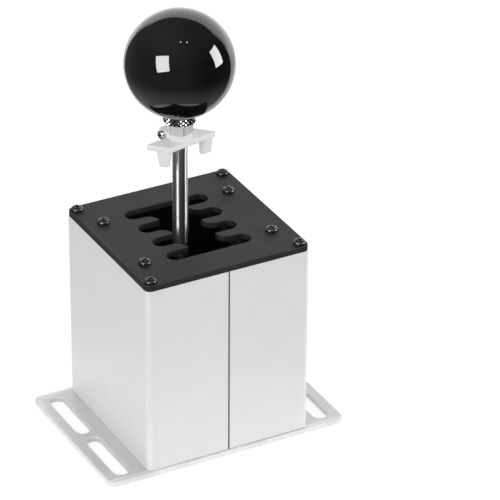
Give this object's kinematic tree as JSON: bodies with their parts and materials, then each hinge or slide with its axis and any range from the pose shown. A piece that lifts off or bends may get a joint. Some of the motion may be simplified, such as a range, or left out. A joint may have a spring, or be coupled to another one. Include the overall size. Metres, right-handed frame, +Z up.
{
  "type": "gear shifter",
  "caption": "H-pattern gear shifter for a driving rig: square metal body on a slotted base plate, black gate plate, chromed lever that slides across lanes and tilts, ball knob, sequential lock.",
  "frame": {"origin": "middle of the base plate's underside", "axes": "+X is the shift direction, away from the driver; +Y runs across the lanes, to the driver's left; +Z is up along the lever at rest"},
  "size_m": [0.147, 0.101, 0.2477],
  "materials": {
    "base_aluminium": "satin brushed",
    "body_aluminium": "satin anodised",
    "gate_black": "fine satin powder coat",
    "screw_black": "black oxide",
    "zinc_steel": "zinc plated",
    "sheet_steel": "blackened sheet",
    "ground_steel": "ground",
    "spring_steel": "drawn wire",
    "hub_steel": "machined and blackened",
    "bush_brass": "turned",
    "friction_fibre": "pressed fibre",
    "board_green": "solder mask",
    "chip_black": "moulded",
    "magnet_nickel": "nickel plated",
    "lever_chrome": "polished chrome",
    "knob_gloss": "polished",
    "lock_nylon": "moulded nylon"
  },
  "bodies": {
    "housing": {"base_plate": "base_aluminium", "rear_channel": "body_aluminium", "front_channel": "body_aluminium", "base_screws": "zinc_steel", "gate_plate": "gate_black", "gate_corner_screws": "screw_black", "gate_inner_screws": "screw_black", "hanger_nuts": "zinc_steel", "left_hanger": "sheet_steel", "right_hanger": "sheet_steel", "tie_rods": "zinc_steel", "cross_shaft": "ground_steel", "shaft_clips": "spring_steel", "shaft_washers": "zinc_steel", "left_spring": "spring_steel", "right_spring": "spring_steel", "sensor_board": "board_green", "board_spacers": "bush_brass", "board_screws": "zinc_steel", "hall_sensors": "chip_black", "controller_chip": "chip_black", "usb_socket": "zinc_steel"},
    "carriage": {"carriage_bush": "bush_brass", "carriage_ring": "zinc_steel", "friction_washers": "friction_fibre"},
    "lever": {"lever_hub": "hub_steel", "hub_pin": "ground_steel", "shift_lever": "lever_chrome", "sensing_magnet": "magnet_nickel", "jam_nut": "lever_chrome", "knurled_collar": "lever_chrome", "knob_insert": "bush_brass", "ball_knob": "knob_gloss"},
    "lock": {"sequential_lock": "lock_nylon", "lock_clamp_screw": "lever_chrome", "lock_clamp_nut": "lever_chrome"}
  },
  "joints": [
    {"name": "lane_select", "type": "slide", "parent": "housing", "child": "carriage", "axis": [0, 1, 0], "range_m": [-0.034, 0.017], "stiffness_N_per_m": 350, "deforming": ["left_spring", "right_spring"]},
    {"name": "gear_shift", "type": "hinge", "parent": "carriage", "child": "lever", "pos_m": [0, 0.0085, 0.04], "axis": [0, 1, 0], "range_deg": [-14, 14]},
    {"name": "lock_slide", "type": "slide", "parent": "lever", "child": "lock", "axis": [0, 0, -1], "range_m": [0, 0.029]}
  ]
}
